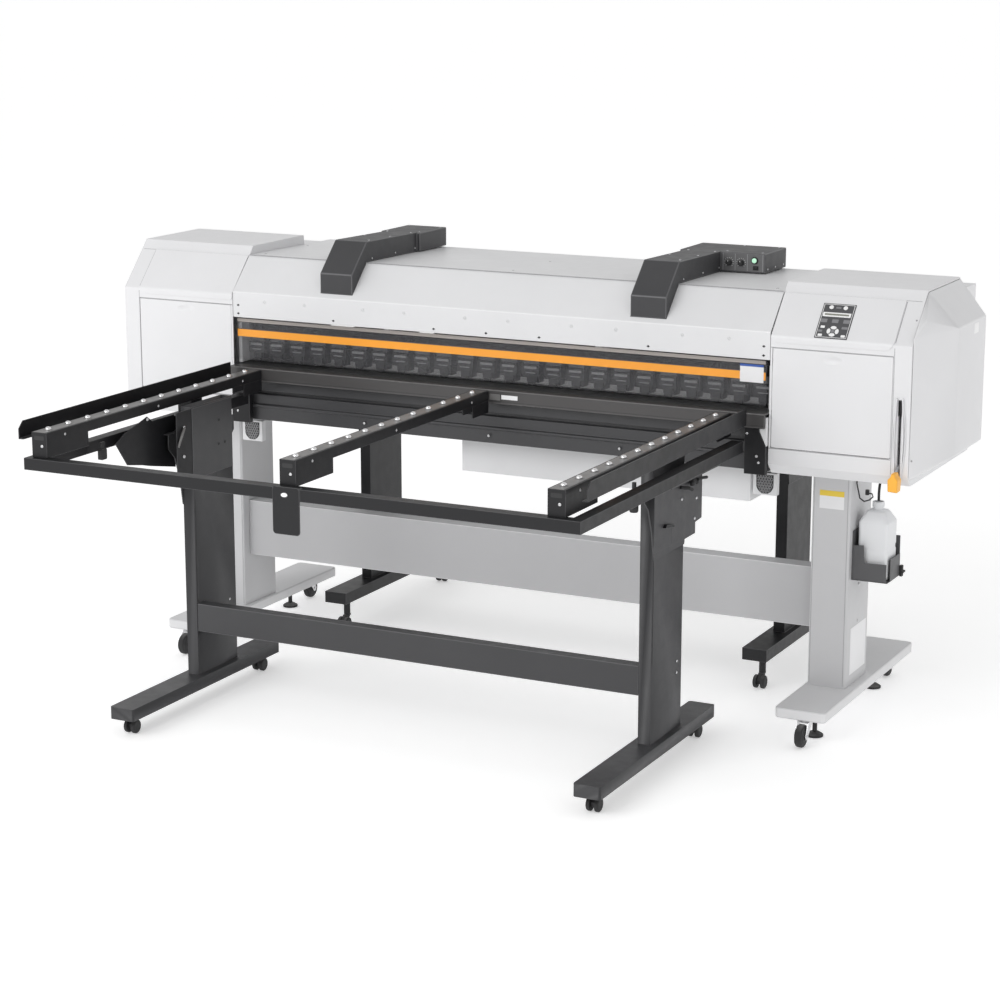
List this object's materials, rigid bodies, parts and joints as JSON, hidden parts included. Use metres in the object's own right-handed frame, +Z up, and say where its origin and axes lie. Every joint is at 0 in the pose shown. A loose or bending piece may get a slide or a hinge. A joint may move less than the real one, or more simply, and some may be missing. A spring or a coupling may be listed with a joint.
{
  "type": "printer cutter",
  "caption": "Wide-format roll and board printer cutter on a T-foot stand, with wheeled roller tables in front and behind",
  "frame": {"origin": "centre of the footprint's bounding box, on the floor", "axes": "+X to the right along the print opening, +Y from the front table to the rear table, +Z up"},
  "size_m": [2.727, 2.603, 1.36],
  "materials": {
    "cover_white": "fine moulded satin",
    "hood_grey": "satin powder coat",
    "stand_grey": "satin powder coat",
    "duct_charcoal": "matt powder coat",
    "table_black": "matt powder coat",
    "platen_dark": "satin",
    "window_clear": "clear polycarbonate",
    "keypad_black": "membrane keypad",
    "orange": "satin",
    "rubber_black": "matt",
    "steel": "zinc plated",
    "bottle_plastic": "translucent polyethylene",
    "button_green": "illuminated"
  },
  "bodies": {
    "printer": {"left_end_cover": "cover_white", "right_end_cover": "cover_white", "right_side_housing": "cover_white", "electronics_box": "cover_white", "front_hood": "hood_grey", "top_cover": "hood_grey", "stand_leg_left": "stand_grey", "stand_leg_right": "stand_grey", "stand_beam": "stand_grey", "chassis_beam": "stand_grey", "pinch_roller_bar": "stand_grey", "lamp_duct_left": "duct_charcoal", "lamp_duct_right": "duct_charcoal", "platen": "platen_dark", "apron_channel": "platen_dark", "operation_panel": "keypad_black", "drain_tube": "rubber_black", "carriage_rail": "steel", "bottle_bracket": "table_black"},
    "front_window": {"front_window": "window_clear"},
    "left_door": {"left_door": "cover_white"},
    "right_door": {"right_door": "cover_white"},
    "media_lever": {"media_lever": "orange"},
    "lamp_knob_1": {"lamp_knob_1": "rubber_black"},
    "lamp_knob_2": {"lamp_knob_2": "rubber_black"},
    "lamp_button": {"lamp_button": "button_green"},
    "print_carriage": {"print_carriage": "duct_charcoal"},
    "feed_roller": {"feed_roller": "steel"},
    "waste_bottle": {"waste_bottle": "bottle_plastic"},
    "front_table": {"table_frame": "table_black", "roller_rail_left": "table_black", "roller_rail_middle": "table_black", "roller_rail_right": "table_black", "edge_guide_left": "table_black", "edge_guide_right": "table_black", "table_leg_left": "table_black", "table_leg_right": "table_black", "table_crossbar": "table_black"},
    "rear_table": {"rear_table_top": "table_black", "rear_table_stand": "table_black"},
    "stand_caster_left_front_fork": {"stand_caster_left_front_fork": "steel"},
    "stand_caster_left_front_wheel": {"stand_caster_left_front_wheel": "rubber_black"},
    "stand_caster_left_rear_fork": {"stand_caster_left_rear_fork": "steel"},
    "stand_caster_left_rear_wheel": {"stand_caster_left_rear_wheel": "rubber_black"},
    "stand_caster_right_front_fork": {"stand_caster_right_front_fork": "steel"},
    "stand_caster_right_front_wheel": {"stand_caster_right_front_wheel": "rubber_black"},
    "stand_caster_right_rear_fork": {"stand_caster_right_rear_fork": "steel"},
    "stand_caster_right_rear_wheel": {"stand_caster_right_rear_wheel": "rubber_black"},
    "table_caster_left_front_fork": {"table_caster_left_front_fork": "steel"},
    "table_caster_left_front_wheel": {"table_caster_left_front_wheel": "rubber_black"},
    "table_caster_left_rear_fork": {"table_caster_left_rear_fork": "steel"},
    "table_caster_left_rear_wheel": {"table_caster_left_rear_wheel": "rubber_black"},
    "table_caster_right_front_fork": {"table_caster_right_front_fork": "steel"},
    "table_caster_right_front_wheel": {"table_caster_right_front_wheel": "rubber_black"},
    "table_caster_right_rear_fork": {"table_caster_right_rear_fork": "steel"},
    "table_caster_right_rear_wheel": {"table_caster_right_rear_wheel": "rubber_black"},
    "rear_caster_left_front": {"rear_caster_left_front": "rubber_black"},
    "rear_caster_left_rear": {"rear_caster_left_rear": "rubber_black"},
    "rear_caster_right_front": {"rear_caster_right_front": "rubber_black"},
    "rear_caster_right_rear": {"rear_caster_right_rear": "rubber_black"}
  },
  "joints": [
    {"name": "front_window_hinge", "type": "hinge", "parent": "printer", "child": "front_window", "pos_m": [-0.0475, -0.1115, 1.102], "axis": [-1, 0, 0], "range_deg": [0, 80]},
    {"name": "left_door_hinge", "type": "hinge", "parent": "printer", "child": "left_door", "pos_m": [-1.1325, -0.1315, 0.856], "axis": [1, 0, 0], "range_deg": [0, 90]},
    {"name": "right_door_hinge", "type": "hinge", "parent": "printer", "child": "right_door", "pos_m": [1.0425, -0.1315, 0.856], "axis": [1, 0, 0], "range_deg": [0, 90]},
    {"name": "media_lever_pivot", "type": "hinge", "parent": "printer", "child": "media_lever", "pos_m": [1.2455, 0.0185, 0.91], "axis": [-1, 0, 0], "range_deg": [0, 55]},
    {"name": "print_carriage_slide", "type": "slide", "parent": "printer", "child": "print_carriage", "axis": [-1, 0, 0], "range_m": [0, 1.9]},
    {"name": "front_table_roll", "type": "slide", "parent": "printer", "child": "front_table", "axis": [0, -1, 0], "range_m": [0, 0.6]},
    {"name": "rear_table_roll", "type": "slide", "parent": "printer", "child": "rear_table", "axis": [0, 1, 0], "range_m": [0, 0.6]},
    {"name": "waste_bottle_lift", "type": "slide", "parent": "printer", "child": "waste_bottle", "axis": [0, 0, 1], "range_m": [0, 0.085]},
    {"name": "lamp_knob_1_turn", "type": "hinge", "parent": "printer", "child": "lamp_knob_1", "pos_m": [0.5565, 0.3, 1.322], "axis": [0, -1, 0], "range_deg": [0, 270]},
    {"name": "lamp_knob_2_turn", "type": "hinge", "parent": "printer", "child": "lamp_knob_2", "pos_m": [0.5955, 0.3, 1.322], "axis": [0, -1, 0], "range_deg": [0, 270]},
    {"name": "lamp_button_push", "type": "slide", "parent": "printer", "child": "lamp_button", "axis": [0, 1, 0], "range_m": [0, 0.003], "stiffness_N_per_m": 200},
    {"name": "feed_roller_spin", "type": "hinge", "parent": "printer", "child": "feed_roller", "pos_m": [-0.0475, -0.0315, 0.9475], "axis": [1, 0, 0], "continuous": true},
    {"name": "stand_caster_left_front_swivel", "type": "hinge", "parent": "printer", "child": "stand_caster_left_front_fork", "pos_m": [-1.1075, -0.1895, 0.0735], "axis": [0, 0, 1], "continuous": true},
    {"name": "stand_caster_left_front_roll", "type": "hinge", "parent": "stand_caster_left_front_fork", "child": "stand_caster_left_front_wheel", "pos_m": [-1.1075, -0.2195, 0.035], "axis": [1, 0, 0], "continuous": true},
    {"name": "stand_caster_left_rear_swivel", "type": "hinge", "parent": "printer", "child": "stand_caster_left_rear_fork", "pos_m": [-1.1075, 0.5405, 0.0735], "axis": [0, 0, 1], "continuous": true},
    {"name": "stand_caster_left_rear_roll", "type": "hinge", "parent": "stand_caster_left_rear_fork", "child": "stand_caster_left_rear_wheel", "pos_m": [-1.1075, 0.5705, 0.035], "axis": [1, 0, 0], "continuous": true},
    {"name": "stand_caster_right_front_swivel", "type": "hinge", "parent": "printer", "child": "stand_caster_right_front_fork", "pos_m": [1.0125, -0.1895, 0.0735], "axis": [0, 0, 1], "continuous": true},
    {"name": "stand_caster_right_front_roll", "type": "hinge", "parent": "stand_caster_right_front_fork", "child": "stand_caster_right_front_wheel", "pos_m": [1.0125, -0.2195, 0.035], "axis": [1, 0, 0], "continuous": true},
    {"name": "stand_caster_right_rear_swivel", "type": "hinge", "parent": "printer", "child": "stand_caster_right_rear_fork", "pos_m": [1.0125, 0.5405, 0.0735], "axis": [0, 0, 1], "continuous": true},
    {"name": "stand_caster_right_rear_roll", "type": "hinge", "parent": "stand_caster_right_rear_fork", "child": "stand_caster_right_rear_wheel", "pos_m": [1.0125, 0.5705, 0.035], "axis": [1, 0, 0], "continuous": true},
    {"name": "table_caster_left_front_swivel", "type": "hinge", "parent": "front_table", "child": "table_caster_left_front_fork", "pos_m": [-0.795, -0.953, 0.045], "axis": [0, 0, 1], "continuous": true},
    {"name": "table_caster_left_front_roll", "type": "hinge", "parent": "table_caster_left_front_fork", "child": "table_caster_left_front_wheel", "pos_m": [-0.795, -0.973, 0.021], "axis": [1, 0, 0], "continuous": true},
    {"name": "table_caster_left_rear_swivel", "type": "hinge", "parent": "front_table", "child": "table_caster_left_rear_fork", "pos_m": [-0.795, -0.2865, 0.045], "axis": [0, 0, 1], "continuous": true},
    {"name": "table_caster_left_rear_roll", "type": "hinge", "parent": "table_caster_left_rear_fork", "child": "table_caster_left_rear_wheel", "pos_m": [-0.795, -0.2665, 0.021], "axis": [1, 0, 0], "continuous": true},
    {"name": "table_caster_right_front_swivel", "type": "hinge", "parent": "front_table", "child": "table_caster_right_front_fork", "pos_m": [0.7, -0.953, 0.045], "axis": [0, 0, 1], "continuous": true},
    {"name": "table_caster_right_front_roll", "type": "hinge", "parent": "table_caster_right_front_fork", "child": "table_caster_right_front_wheel", "pos_m": [0.7, -0.973, 0.021], "axis": [1, 0, 0], "continuous": true},
    {"name": "table_caster_right_rear_swivel", "type": "hinge", "parent": "front_table", "child": "table_caster_right_rear_fork", "pos_m": [0.7, -0.2865, 0.045], "axis": [0, 0, 1], "continuous": true},
    {"name": "table_caster_right_rear_roll", "type": "hinge", "parent": "table_caster_right_rear_fork", "child": "table_caster_right_rear_wheel", "pos_m": [0.7, -0.2665, 0.021], "axis": [1, 0, 0], "continuous": true},
    {"name": "rear_caster_left_front_swivel", "type": "hinge", "parent": "rear_table", "child": "rear_caster_left_front", "pos_m": [-0.795, 0.956, 0.045], "axis": [0, 0, 1], "continuous": true},
    {"name": "rear_caster_left_rear_swivel", "type": "hinge", "parent": "rear_table", "child": "rear_caster_left_rear", "pos_m": [-0.795, 0.2895, 0.045], "axis": [0, 0, 1], "continuous": true},
    {"name": "rear_caster_right_front_swivel", "type": "hinge", "parent": "rear_table", "child": "rear_caster_right_front", "pos_m": [0.7, 0.956, 0.045], "axis": [0, 0, 1], "continuous": true},
    {"name": "rear_caster_right_rear_swivel", "type": "hinge", "parent": "rear_table", "child": "rear_caster_right_rear", "pos_m": [0.7, 0.2895, 0.045], "axis": [0, 0, 1], "continuous": true}
  ]
}
